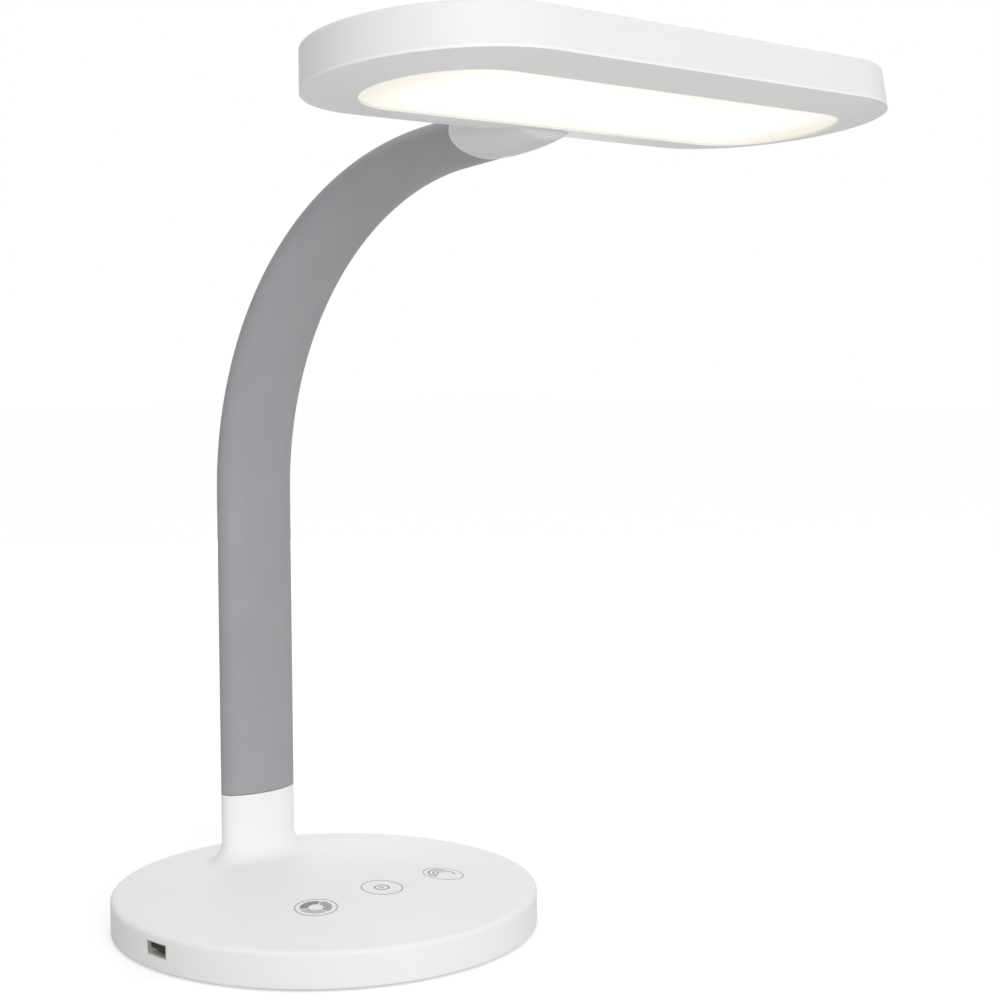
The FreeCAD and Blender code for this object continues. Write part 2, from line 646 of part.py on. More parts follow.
def head_housing():
    body = head_body("housing_shell")
    wall = new_sketch(body, "housing_wall", lift="$bezel_edge")
    inset(wall, rise_inset("$bezel_edge"))
    feature(body, "Pad", "housing_block", wall, "$head_height - $bezel_edge", taper="-$head_draft")
    round_body_edges(body, "housing_edge", "$head_edge_round",
                     lambda e: level(e, current("$head_height")))
    inner = new_sketch(body, "housing_inner", lift="$bezel_edge")
    inset(inner, f"{rise_inset('$bezel_edge')} + $head_wall")
    doc.recompute()
    feature(body, "Pocket", "housing_hollow", inner, "$head_height - $bezel_edge - $head_wall",
            down=True, taper="-$head_draft")
    posts = new_sketch(body, "housing_posts", lift=spreader_high)
    for x, y in head_bosses():
        circle(posts, "$head_boss_radius", x, y)
    doc.recompute()
    feature(body, "Pad", "housing_bosses", posts, f"$head_height - $head_wall / 2 - {spreader_high}")
    pilots = new_sketch(body, "housing_pilots", lift=spreader_high)
    for x, y in head_bosses():
        circle(pilots, "$screw_radius", x, y)
    doc.recompute()
    feature(body, "Pocket", "housing_pilot_holes", pilots,
            f"$head_height - $head_wall - {spreader_high} - $pilot_floor", down=True)
    slot = box("housing_slot", "$tongue_width + 2 * $piece_gap", "$tongue_slot_depth",
               "$tongue_thick + 2 * $piece_gap", 0, "$head_depth / 2", f"{spreader_high} - $piece_gap / 2",
               frame=head)
    return cut("head_housing", body, slot, lead_hole("housing_lead_hole"))


def lead_hole(name):
    return cylinder(name, "$lead_radius + $lead_clearance", "$end_run + $lead_reach", frame=neck_end)


def head_bosses():
    for right in (-1, 1):
        for back in (-1, 1):
            yield f"{right} * $head_boss_x", f"{back} * $head_boss_y"


def head_bezel():
    """Frame round the light window: edge band, slope, inner rim and a rebate for the window."""
    body = head_body("bezel_frame")
    edge = new_sketch(body, "bezel_band")
    inset(edge, "0")
    feature(body, "Pad", "bezel_edge_band", edge, "$bezel_edge", taper="-$head_draft")
    bezel_slope(body)
    rim = new_sketch(body, "bezel_rim", lift="$bezel_edge")
    inset(rim, "$head_wall + 2 * $piece_gap")
    inset(rim, "$head_wall + 2 * $piece_gap + $bezel_rim_thick")
    doc.recompute()
    feature(body, "Pad", "bezel_inner_rim", rim, "$bezel_rim_height")
    rebate = new_sketch(body, "bezel_rebate", lift=lip_top)
    inset(rebate, "$bezel_width - $window_rebate")
    doc.recompute()
    feature(body, "Pocket", "bezel_seat", rebate, "$head_height", down=True)
    window = new_sketch(body, "bezel_window", lift="-2 * $bezel_drop")
    inset(window, "$bezel_width")
    doc.recompute()
    feature(body, "Pocket", "bezel_opening", window, "$head_height", down=True)
    return cut("head_bezel", body, lead_hole("bezel_lead_hole"))


def diffuser():
    """Opal window: its flange lies on the bezel's lip and its face stops short of the lip's edge."""
    body = head_body("diffuser")
    flange = new_sketch(body, "diffuser_outline", lift=lip_top)
    inset(flange, guide_inset)
    feature(body, "Pad", "diffuser_flange", flange, "$diffuser_flange")
    face = new_sketch(body, "diffuser_face", lift=lip_top)
    inset(face, "$bezel_width + $diffuser_gap")
    feature(body, "Pad", "diffuser_window", face, "$bezel_lip - $diffuser_recess", down=True)
    low = "-$bezel_drop + $diffuser_recess"
    round_body_edges(body, "diffuser_edge", "$diffuser_edge_round", lambda e: level(e, current(low)))
    return body


def head_plate(name, lift, thick, distance):
    body = head_body(name)
    outline = new_sketch(body, name + "_outline", lift=lift)
    inset(outline, distance)
    feature(body, "Pad", name + "_plate", outline, thick)
    return body


def heat_spreader():
    """Aluminium back plate: it carries the light guide's stack and its lips carry the LED bars."""
    plate = head_plate("spreader_sheet", spreader_low, "$spreader_thick", guide_inset)
    web_inner = f"({guide_depth} / 2 - $web_overlap)"
    web_outer = f"({lip_inner} + $spreader_lip)"
    edges = []
    for i, side in enumerate((-1, 1)):
        edges.append(box(f"spreader_lip_{i}", lip_length, "$spreader_lip", f"{spreader_high} - {bar_low}",
                         0, f"{side} * ({lip_inner} + $spreader_lip / 2)", bar_low, frame=head))
        edges.append(box(f"spreader_web_{i}", lip_length, f"{web_outer} - {web_inner}", "$spreader_thick",
                         0, f"{side} * ({web_outer} + {web_inner}) / 2", spreader_low, frame=head))
    holes = []
    for i, (x, y) in enumerate([*head_bosses(), *tongue_places()]):
        holes.append(cylinder(f"spreader_hole_{i}", "$screw_radius", "$spreader_thick",
                              x, y, spreader_low, frame=head))
        holes.append(cylinder(f"spreader_sink_{i}", "$screw_head_radius", "$screw_head_thick",
                              x, y, spreader_low, frame=head))
    return cut("heat_spreader", fuse("spreader_blank", plate, *edges), *holes)


def led_bar(name, side):
    return box(name, "$bar_length", "$bar_thick", bar_height, 0,
               f"{side} * ({bar_inner} + $bar_thick / 2)", bar_low, frame=head)


def led_chips():
    chips = []
    for side in (-1, 1):
        y = f"{side} * ({bar_inner} - $chip_thick / 2)"
        for i in range(chips_per_bar):
            x = f"{i - (chips_per_bar - 1) / 2} * $chip_pitch"
            chips.append(box(f"chip_{side + 1}_{i}", "$chip_width", "$chip_thick", "$chip_height", x, y,
                             f"{bar_low} + ({bar_height} - $chip_height) / 2", frame=head))
    return group("led_chips", chips)


def tongue_places():
    for right in (-1, 0, 1):
        yield f"{right} * $tongue_screw_pitch", f"{tongue_start} - $tongue_reach + $tongue_screw_inset"


def neck_end_fitting():
    """Steel block on the tubes' upper ends, with a tongue that reaches in over the back plate."""
    block = oval_bar("fitting_block", fitting_width, fitting_thick, "$fitting_length",
                     in_frame(neck_end, 0, 0, "$end_run + $piece_gap"))
    tongue = box("fitting_tongue", "$tongue_width", "$tongue_reach", "$tongue_thick", 0,
                 f"{tongue_start} - $tongue_reach / 2", spreader_high, frame=head)
    bores = [cylinder(f"fitting_bore_{i}", "$tube_radius", "$end_run + $fitting_length / 2",
                      f"{side} * {tube_x}", frame=neck_end)
             for i, side in enumerate((-1, 1))]
    taps = [cylinder(f"fitting_tap_{i}", "$screw_radius", "2 * $tongue_thick",
                     x, y, f"{spreader_high} - $tongue_thick / 2", frame=head)
            for i, (x, y) in enumerate(tongue_places())]
    return cut("neck_end_fitting", fuse("fitting_blank", block, tongue), *bores, *taps,
               lead_hole("fitting_lead_hole"))


def head_collar():
    """Fairing that takes the neck's oval into the back of the head and out under the bezel."""
    sections = [ellipse("collar_ring", "$neck_width", "$neck_thick",
                        in_frame(neck_end, 0, 0, "$end_run"))]
    stations = (("collar_mid", "$collar_mid_width", "$collar_rise", "$head_depth / 2"),
                ("collar_tip", "$collar_tip_width", "$collar_tip_rise",
                 "$head_depth / 2 - $collar_tip_inset"))
    for name, width, rise, y in stations:
        where = in_frame(head, 0, y, f"{ring_height} + {rise} / 2", facing_front)
        sections.append(ellipse(name, width, f"$neck_thick - ({rise})", where))
    loft = doc.addObject("Part::Loft", "collar_loft")
    loft.Sections = sections
    loft.Solid = True
    doc.recompute()
    tip = min(loft.Shape.Edges, key=lambda e: e.BoundBox.YMax)
    tipped = round_edges("collar_tip_rounded", loft, "collar_tip_round", tip.isSame)
    outer = head_body("head_envelope")
    head_outer(outer)
    room = oval_bar("collar_room", f"{fitting_width} + 2 * $piece_gap", f"{fitting_thick} + 2 * $piece_gap",
                    "$fitting_length + 3 * $piece_gap", in_frame(neck_end, 0, 0, "$end_run - $piece_gap"))
    slot = box("collar_slot", "$tongue_width + 2 * $piece_gap", "$tongue_slot_depth",
               "$tongue_thick + 2 * $piece_gap", 0, "$head_depth / 2", f"{spreader_high} - $piece_gap",
               frame=head)
    return cut("head_collar", tipped, outer, room, slot, lead_hole("collar_lead_hole"))


# ---- assembly -----------------------------------------------------------------------------

keep("base_cover", base_cover())
keep("base_plate", base_plate())
keep("ballast_plate", ballast_plate())
keep("foot_pad", cylinder("foot_pad", "$pad_radius", "$pad_thick"))
keep("base_screws", group("base_screws", [
    screw(f"base_screw_{i}", "$screw_radius",
          f"{cover_under} - $pad_thick - $screw_head_thick - 2 * $pilot_floor",
          "$screw_head_radius", "$screw_head_thick", x, y, "$pad_thick + $screw_head_thick")
    for i, x, y in cover_corners()]))
keep("neck_anchor", neck_anchor())
keep("anchor_screws", group("anchor_screws", [
    screw(f"anchor_screw_{i}", "$screw_radius", "$anchor_flange_thick + $ballast_thick - $pilot_floor",
          "$screw_head_radius", "$screw_head_thick", x, y, f"{ballast_high} + $anchor_flange_thick",
          up=False)
    for i, x, y in anchor_corners()]))
keep("control_board", control_board())
keep("board_screws", group("board_screws", [
    screw(f"board_screw_{i}", "$small_screw_radius", "$board_thick + $touch_pad_height - $screw_tip_gap",
          "$small_head_radius", "$small_head_thick", x, y, board_low)
    for i, x, y in board_corners()]))
keep("touch_pads", group("touch_pads", [
    crowned(f"touch_pad_{i}",
            cylinder(f"touch_foam_{i}", "$touch_pad_radius", "$touch_pad_height + $top_crown",
                     x, y, board_high),
            "$cover_wall")
    for i, (x, y) in enumerate(touch_places)]))
keep("usb_board", box("usb_board", "$usb_board_depth", "$usb_board_width", "$board_thick", usb_board_x,
                      "$usb_y", usb_board_low))
keep("usb_shell", usb_shell())
keep("usb_tongue", usb_tongue())
keep("dc_jack", dc_jack())
keep("dc_jack_pin", dc_jack_pin())
keep("neck_sleeve", neck_sleeve())
keep("neck_lead", neck_run("neck_lead", "$lead_radius", "0", f"{ballast_high} + $lead_lift",
                           "$end_run + $lead_reach"))
flex_tubes()
keep("neck_end_fitting", neck_end_fitting())
keep("head_collar", head_collar())
keep("head_housing", head_housing())
keep("head_bezel", head_bezel())
keep("diffuser", diffuser())
keep("light_guide", head_plate("light_guide", guide_low, "$guide_thick", guide_inset))
keep("reflector_sheet", head_plate("reflector_sheet", guide_high, "$reflector_thick", guide_inset))
keep("heat_spreader", heat_spreader())
keep("led_bar_front", led_bar("led_bar_front", -1))
keep("led_bar_rear", led_bar("led_bar_rear", 1))
keep("led_chips", led_chips())
keep("spreader_screws", group("spreader_screws", [
    screw(f"spreader_screw_{i}", "$screw_radius", "$head_screw_length", "$screw_head_radius",
          "$screw_head_thick", x, y, f"{spreader_low} + $screw_head_thick", frame=head)
    for i, (x, y) in enumerate(head_bosses())]))
keep("tongue_screws", group("tongue_screws", [
    screw(f"tongue_screw_{i}", "$screw_radius", "$spreader_thick - $screw_head_thick + $tongue_thick",
          "$screw_head_radius", "$screw_head_thick", x, y, f"{spreader_low} + $screw_head_thick",
          frame=head)
    for i, (x, y) in enumerate(tongue_places())]))

# ---- checks and files ---------------------------------------------------------------------

doc.recompute()
for thing in doc.Objects:
    if {"Invalid", "Error"} & set(thing.State):
        raise SystemExit(f"{thing.Name} did not build: {thing.State}")
for name, made in parts.items():
    if made.Shape.isNull() or not made.Shape.isValid():
        raise SystemExit(f"{name} has no sound shape")
for name, made in parts.items():
    made.Shape.exportStep(f"parts/{name}.step")
print(f"{len(parts)} parts written")
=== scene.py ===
import json
import math
import bmesh
import bpy
from mathutils import Matrix, Vector

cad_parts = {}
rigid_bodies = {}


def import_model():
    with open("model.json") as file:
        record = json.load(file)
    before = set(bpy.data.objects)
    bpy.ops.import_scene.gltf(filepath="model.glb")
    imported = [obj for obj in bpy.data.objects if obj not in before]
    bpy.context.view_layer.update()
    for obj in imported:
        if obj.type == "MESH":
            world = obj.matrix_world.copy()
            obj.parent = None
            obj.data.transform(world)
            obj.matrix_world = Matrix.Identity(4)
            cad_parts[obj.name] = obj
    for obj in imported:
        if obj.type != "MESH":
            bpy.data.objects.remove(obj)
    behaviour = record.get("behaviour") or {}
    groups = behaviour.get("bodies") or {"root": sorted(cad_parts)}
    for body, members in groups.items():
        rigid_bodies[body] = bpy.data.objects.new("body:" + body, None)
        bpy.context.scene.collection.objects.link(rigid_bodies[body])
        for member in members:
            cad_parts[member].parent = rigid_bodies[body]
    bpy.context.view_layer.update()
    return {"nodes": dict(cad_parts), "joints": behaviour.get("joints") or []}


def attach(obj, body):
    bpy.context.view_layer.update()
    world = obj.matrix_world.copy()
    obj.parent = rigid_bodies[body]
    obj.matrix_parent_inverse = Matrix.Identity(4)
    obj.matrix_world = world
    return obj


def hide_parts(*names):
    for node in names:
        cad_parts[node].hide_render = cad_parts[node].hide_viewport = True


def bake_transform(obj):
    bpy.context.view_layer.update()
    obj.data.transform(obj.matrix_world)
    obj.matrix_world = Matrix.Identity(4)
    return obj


# Light therapy desk lamp: white moulded base and head, grey soft-touch gooseneck, lit window.
# Metres, +Z up, -Y towards the user, +X to the user's right, origin under the round base.

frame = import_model()
cadNodes = frame["nodes"]
scene = bpy.context.scene
mm = 0.001
print("frame loaded:", len(cadNodes), "nodes")

# ---- camera

cameraPlace = {
    "azimuth": -39.634,     # degrees round from the front, to the user's left
    "distance": 0.8531,
    "height": 0.25893,
    "aimSide": 0.079246,    # how far to the right of the base's middle the lens points
    "aimHeight": 0.189514,
    "roll": -0.166,
    "lens": 69.379,
    "sensor": 36.0,
}


def setCamera():
    place = cameraPlace
    azimuth = math.radians(place["azimuth"])
    eye = Vector((math.sin(azimuth), -math.cos(azimuth), 0)) * place["distance"]
    eye.z = place["height"]
    aim = Vector((math.cos(azimuth), math.sin(azimuth), 0)) * place["aimSide"]
    aim.z = place["aimHeight"]
    turn = (aim - eye).to_track_quat("-Z", "Y").to_matrix().to_4x4()
    roll = Matrix.Rotation(math.radians(place["roll"]), 4, "Z")
    data = bpy.data.cameras.new("photoCamera")
    data.lens = place["lens"]
    data.sensor_width = place["sensor"]
    camera = bpy.data.objects.new("photoCamera", data)
    scene.collection.objects.link(camera)
    camera.matrix_world = Matrix.Translation(eye) @ turn @ roll
    scene.camera = camera


setCamera()
print("camera set")

# ---- materials


def linearColour(hexText):
    # sRGB hex to linear, by the standard's own curve
    channels = [int(hexText[i:i + 2], 16) / 255 for i in (0, 2, 4)]
    return [c / 12.92 if c <= 0.04045 else ((c + 0.055) / 1.055) ** 2.4 for c in channels] + [1.0]


def addNode(tree, kind, inputs=None, **settings):
    node = tree.nodes.new(kind)
    for name, value in settings.items():
        setattr(node, name, value)
    for name, value in (inputs or {}).items():
        socket = node.inputs[name]
        if isinstance(value, bpy.types.NodeSocket):
            tree.links.new(value, socket)
        else:
            socket.default_value = value
    return node


def startMaterial(name, shaderInputs):
    material = bpy.data.materials.new(name)
    material.use_nodes = True
    tree = material.node_tree
    tree.nodes.clear()
    shader = addNode(tree, "ShaderNodeBsdfPrincipled", shaderInputs)
    addNode(tree, "ShaderNodeOutputMaterial", {"Surface": shader.outputs["BSDF"]})
    place = addNode(tree, "ShaderNodeTexCoord").outputs["Object"]
    return material, tree, shader, place


noiseLook = {"roughness": 0.55, "low": 0.3, "high": 0.7}    # nearly all of a noise lies from low to high


def grainHeight(tree, place, sizeMm, stretch=(1, 1, 1), detail=2.0):
    # fine relief of a mould or a drawn surface, sizeMm across
    mapped = addNode(tree, "ShaderNodeMapping", {"Vector": place, "Scale": stretch})
    return addNode(tree, "ShaderNodeTexNoise", {
        "Vector": mapped.outputs["Vector"], "Scale": 1 / (sizeMm * mm), "Detail": detail,
        "Roughness": noiseLook["roughness"]}).outputs["Fac"]


def spread(tree, source, low, high):
    # stretches a noise to the range low to high
    return addNode(tree, "ShaderNodeMapRange", {
        "Value": source, "From Min": noiseLook["low"], "From Max": noiseLook["high"],
        "To Min": low, "To Max": high}).outputs["Result"]


def blendColours(tree, share, first, second):
    # the mix node's colours go in at 6 and 7 and come out at 2
    return addNode(tree, "ShaderNodeMix", {"Factor": share, 6: first, 7: second},
                   data_type="RGBA").outputs[2]


def tintSurface(tree, shader, share, look, otherName):
    # the look's colour where share is 0, and its other colour where share is 1
    tint = blendColours(tree, share, linearColour(look["colour"]), linearColour(look[otherName]))
    tree.links.new(tint, shader.inputs["Base Color"])


def varyRoughness(tree, shader, source, middle, swing):
    rough = spread(tree, source, middle - swing, middle + swing)
    tree.links.new(rough, shader.inputs["Roughness"])


def putRelief(tree, shader, height, depthMm):
    bump = addNode(tree, "ShaderNodeBump", {
        "Height": height, "Distance": depthMm * mm, "Strength": 1.0})
    tree.links.new(bump.outputs["Normal"], shader.inputs["Normal"])


def mouldedPlastic(name, look):
    # Injection-moulded thermoplastic: even colour, spark-eroded mould grain, soft satin highlight.
    material, tree, shader, place = startMaterial(name, {"IOR": look["ior"]})
    cloud = grainHeight(tree, place, look["cloudMm"])
    tintSurface(tree, shader, spread(tree, cloud, 0, 1), look, "cloudColour")
    grain = grainHeight(tree, place, look["grainMm"])
    varyRoughness(tree, shader, cloud, look["roughness"], look["handled"])
    putRelief(tree, shader, grain, look["grainDepthMm"])
    return material


def softTouchSilicone(name, look):
    # Moulded silicone with a soft-touch coat: matt, with a fine even grain.
    material, tree, shader, place = startMaterial(name, {
        "IOR": look["ior"], "Roughness": look["roughness"]})
    cloud = grainHeight(tree, place, look["cloudMm"], detail=4.0)
    tintSurface(tree, shader, spread(tree, cloud, 0, 1), look, "cloudColour")
    putRelief(tree, shader, grainHeight(tree, place, look["grainMm"]), look["grainDepthMm"])
    return material


inkFilm = {"ior": 1.5, "roughness": 0.5, "patchMm": 1.2, "depthMm": 0.004}


def padPrintInk(name, look):
    # Pad-printed ink: a thin satin film, a little paler where the pad left less of it.
    material, tree, shader, place = startMaterial(name, {
        "IOR": inkFilm["ior"], "Roughness": inkFilm["roughness"]})
    patch = grainHeight(tree, place, inkFilm["patchMm"])
    tintSurface(tree, shader, spread(tree, patch, 0, 1), look, "thinColour")
    putRelief(tree, shader, patch, inkFilm["depthMm"])
    return material


scratchSwing = 0.08     # how far scratches change a metal's roughness


def platedMetal(name, look):
    # Rolled, drawn or plated metal: fine scratches along one direction, patchy tint of the plating.
    material, tree, shader, place = startMaterial(name, {"Metallic": 1.0})
    scratch = grainHeight(tree, place, look["scratchMm"], look["along"], detail=3.0)
    cloud = grainHeight(tree, place, look["cloudMm"])
    tintSurface(tree, shader, spread(tree, cloud, 0, 1), look, "cloudColour")
    varyRoughness(tree, shader, scratch, look["roughness"], scratchSwing)
    putRelief(tree, shader, scratch, look["scratchDepthMm"])
    return material


def cellularRubber(name, look):
    # Foamed rubber: open cells cut through at the skin, dull all over.
    material, tree, shader, place = startMaterial(name, {
        "IOR": look["ior"], "Roughness": look["roughness"]})
    cells = addNode(tree, "ShaderNodeTexVoronoi", {
        "Vector": place, "Scale": 1 / (look["cellMm"] * mm)}).outputs["Distance"]
    tintSurface(tree, shader, cells, look, "cellColour")
    putRelief(tree, shader, cells, look["cellDepthMm"])
    return material


def maskedLaminate(name, look):
    # Circuit board: copper tracks show as faint lines under the solder mask.
    material, tree, shader, place = startMaterial(name, {
        "IOR": look["ior"], "Roughness": look["roughness"]})
    tracks = addNode(tree, "ShaderNodeTexBrick", {
        "Vector": place, "Scale": 1.0, "Mortar Size": look["trackMm"] * mm, "Mortar Smooth": 0.3,
        "Brick Width": look["trackLengthMm"] * mm, "Row Height": look["trackPitchMm"] * mm,
    }).outputs["Fac"]
    tintSurface(tree, shader, tracks, look, "trackColour")
    putRelief(tree, shader, tracks, look["copperMm"])
    return material


def litOpalWindow(name, look):
    # Extruded opal acrylic lit from behind: even white, warmer and dimmer where the edge absorbs it.
    material, tree, shader, place = startMaterial(name, {
        "Base Color": linearColour(look["sheetColour"]), "IOR": look["ior"],
        "Roughness": look["roughness"]})
    tilt = math.radians(look["tiltDeg"])
    centred = addNode(tree, "ShaderNodeMapping", {
        "Vector": place, "Location": look["middle"], "Rotation": (-tilt, 0, 0)}, vector_type="TEXTURE")
    local = addNode(tree, "ShaderNodeSeparateXYZ", {"Vector": centred.outputs["Vector"]})

    def reckon(operation, first, second=0.0):
        node = addNode(tree, "ShaderNodeMath", {0: first, 1: second}, operation=operation)
        return node.outputs["Value"]

    def inwards(distance, reach):
        # 0 at the window's edge, 1 from reach inwards
        return addNode(tree, "ShaderNodeMapRange", {
            "Value": distance, "From Min": 0.0, "From Max": reach, "To Min": 0.0, "To Max": 1.0},
            interpolation_type="SMOOTHSTEP").outputs["Result"]

    halfLength = look["windowLength"] / 2
    halfRun = halfLength - look["windowDepth"] / 2
    past = reckon("MAXIMUM", reckon("SUBTRACT", reckon("ABSOLUTE", local.outputs["X"]), halfRun), 0.0)
    across = reckon("ABSOLUTE", local.outputs["Y"])
    squares = reckon("ADD", reckon("MULTIPLY", past, past), reckon("MULTIPLY", across, across))
    fromEdge = reckon("SUBTRACT", look["windowDepth"] / 2, reckon("SQRT", squares))
    grain = grainHeight(tree, place, look["mottleMm"])
    wander = reckon("MULTIPLY", spread(tree, grain, -1, 1), look["mottleShift"])
    edgeShare = inwards(reckon("ADD", fromEdge, wander), look["edgeWidth"])
    fromEnd = reckon("SUBTRACT", halfLength, reckon("ABSOLUTE", local.outputs["X"]))
    endShare = inwards(fromEnd, look["endReach"])
    glow = linearColour(look["middleGlow"])
    for share, part in ((edgeShare, "edgeGlow"), (endShare, "endGlow")):
        glow = blendColours(tree, share, linearColour(look[part]), glow)
    tree.links.new(glow, shader.inputs["Emission Color"])
    shader.inputs["Emission Strength"].default_value = look["strength"]
    putRelief(tree, shader, grain, look["mottleDepthMm"])
    return material


whiteAbs = mouldedPlastic("whiteSatinAbs", {
    "colour": "F2F2F2", "cloudColour": "EFEFEF", "cloudMm": 60, "ior": 1.54, "roughness": 0.42,
    "handled": 0.03, "grainMm": 0.6,        # real spark grain is near 0.1 mm, drawn coarser to show
    "grainDepthMm": 0.004})
# Same white ABS as the housing, painted lighter: painted light on the head's underside bezel.
bezelLitAbs = mouldedPlastic("whiteBezelAbsPaintedLight", {
    "colour": "FAFAF9", "cloudColour": "F7F7F6", "cloudMm": 60, "ior": 1.54, "roughness": 0.42,
    "handled": 0.03, "grainMm": 0.6, "grainDepthMm": 0.004})
# Same white ABS as the housing, painted darker: painted shade on the collar under the head.
collarShadedAbs = mouldedPlastic("whiteCollarAbsPaintedShade", {
    "colour": "E6E6E6", "cloudColour": "E2E2E2", "cloudMm": 30, "ior": 1.54, "roughness": 0.5,
    "handled": 0.03, "grainMm": 0.6, "grainDepthMm": 0.006})
# The base's finer, duller grain is its own; its colour is painted lighter than the housing's: painted
# light on the base.
coverLitAbs = mouldedPlastic("whiteTexturedAbsPaintedLight", {
    "colour": "FAFAF9", "cloudColour": "F7F7F6", "cloudMm": 70, "ior": 1.5, "roughness": 0.6,
    "handled": 0.03, "grainMm": 0.5, "grainDepthMm": 0.006})
plateAbs = mouldedPlastic("mattBaseAbs", {
    "colour": "E4E4E2", "cloudColour": "DEDEDC", "cloudMm": 40, "ior": 1.54, "roughness": 0.6,
    "handled": 0.05, "grainMm": 0.8, "grainDepthMm": 0.02})
socketPlastic = mouldedPlastic("blackSocketPbt", {
    "colour": "0B0B0C", "cloudColour": "101011", "cloudMm": 5, "ior": 1.57, "roughness": 0.45,
    "handled": 0.05, "grainMm": 0.5, "grainDepthMm": 0.006})
leadPvc = mouldedPlastic("whitePvcJacket", {
    "colour": "E2E2E0", "cloudColour": "D8D8D6", "cloudMm": 12, "ior": 1.53, "roughness": 0.5,
    "handled": 0.05, "grainMm": 0.5, "grainDepthMm": 0.01})
neckSilicone = softTouchSilicone("greySoftTouchSilicone", {
    "colour": "A6A6AA", "cloudColour": "A2A2A6", "cloudMm": 18, "ior": 1.43, "roughness": 0.52,
    "grainMm": 0.7,         # the coat's grain is 0.05 mm, drawn coarser to show
    "grainDepthMm": 0.012})
zincSteel = platedMetal("zincPlatedSteel", {
    "colour": "B4B8BC", "cloudColour": "A7ACB4", "cloudMm": 9, "scratchMm": 0.5, "along": (0.08, 1, 1),
    "scratchDepthMm": 0.01, "roughness": 0.38})
windingSteel = platedMetal("woundStripSteel", {
    "colour": "A2A4A6", "cloudColour": "8E9094", "cloudMm": 6, "scratchMm": 2.2, "along": (0.1, 0.1, 1),
    "scratchDepthMm": 0.25, "roughness": 0.34})
screwSteel = platedMetal("brightZincScrew", {
    "colour": "C3C6C8", "cloudColour": "B2B7BE", "cloudMm": 1.5, "scratchMm": 0.3, "along": (1, 1, 0.3),
    "scratchDepthMm": 0.008, "roughness": 0.3})
spreaderSheet = platedMetal("millAluminiumSheet", {
    "colour": "D3D5D6", "cloudColour": "C9CBCD", "cloudMm": 25, "scratchMm": 0.6, "along": (0.04, 1, 1),
    "scratchDepthMm": 0.006, "roughness": 0.36})
socketNickel = platedMetal("nickelPlatedShell", {
    "colour": "E2DED8", "cloudColour": "D6D2CC", "cloudMm": 3, "scratchMm": 0.25, "along": (0.2, 1, 1),
    "scratchDepthMm": 0.004, "roughness": 0.75})
contactGold = platedMetal("goldFlashedBronze", {
    "colour": "E0B65E", "cloudColour": "D3A64E", "cloudMm": 2, "scratchMm": 0.2, "along": (0.2, 1, 1),
    "scratchDepthMm": 0.003, "roughness": 0.25})
padFoam = cellularRubber("blackNonSlipFoam", {
    "colour": "151515", "cellColour": "262626", "cellMm": 0.9, "cellDepthMm": 0.225, "ior": 1.5,
    "roughness": 0.9})
touchFoam = cellularRubber("conductiveFoam", {
    "colour": "2C2D31", "cellColour": "43454A", "cellMm": 0.7, "cellDepthMm": 0.175, "ior": 1.5,
    "roughness": 0.85})
greenLaminate = maskedLaminate("greenMaskLaminate", {
    "colour": "12532C", "trackColour": "1E7440", "trackMm": 0.3, "trackPitchMm": 1.6,
    "trackLengthMm": 8.0, "copperMm": 0.035, "ior": 1.55, "roughness": 0.3})
whiteLaminate = maskedLaminate("whiteMaskAluminium", {
    "colour": "EDEDEA", "trackColour": "DADAD6", "trackMm": 0.4, "trackPitchMm": 2.4,
    "trackLengthMm": 12.0, "copperMm": 0.035, "ior": 1.55, "roughness": 0.35})
reflectorFilm = mouldedPlastic("whitePetFilm", {
    "colour": "F4F4F4", "cloudColour": "EFEFEF", "cloudMm": 30, "ior": 1.57, "roughness": 0.7,
    "handled": 0.04, "grainMm": 0.4, "grainDepthMm": 0.003})
guideAcrylic = mouldedPlastic("dottedClearAcrylic", {
    "colour": "E9EDEE", "cloudColour": "F2F4F4", "cloudMm": 1.4, "ior": 1.49, "roughness": 0.15,
    "handled": 0.04, "grainMm": 1.4, "grainDepthMm": 0.02})
chipPhosphor = mouldedPlastic("yellowPhosphor", {
    "colour": "F2DC6B", "cloudColour": "EBD05A", "cloudMm": 1, "ior": 1.5, "roughness": 0.35,
    "handled": 0.05, "grainMm": 0.3, "grainDepthMm": 0.004})
lineInk = padPrintInk("greyLineInk", {"colour": "8E8E8E", "thinColour": "9C9C9B"})
darkInk = padPrintInk("darkGreyInk", {"colour": "838384", "thinColour": "8E8E8F"})
midInk = padPrintInk("midGreyInk", {"colour": "A3A3A3", "thinColour": "ABABAB"})
paleInk = padPrintInk("paleGreyInk", {"colour": "BFBFBF", "thinColour": "C6C6C6"})
windowOpal = litOpalWindow("litOpalAcrylic", {
    "sheetColour": "B8B5AC", "ior": 1.49, "roughness": 0.3, "middleGlow": "E3E0DA",
    "edgeGlow": "CCCCC4", "endGlow": "C4BDAD", "strength": 1.0, "tiltDeg": 6.6,
    "middle": (0, -0.174, 0.3472), "windowLength": 0.2348, "windowDepth": 0.0632,   # metres
    "edgeWidth": 0.014, "endReach": 0.038, "mottleShift": 0.0008,
    "mottleMm": 14, "mottleDepthMm": 0.01})

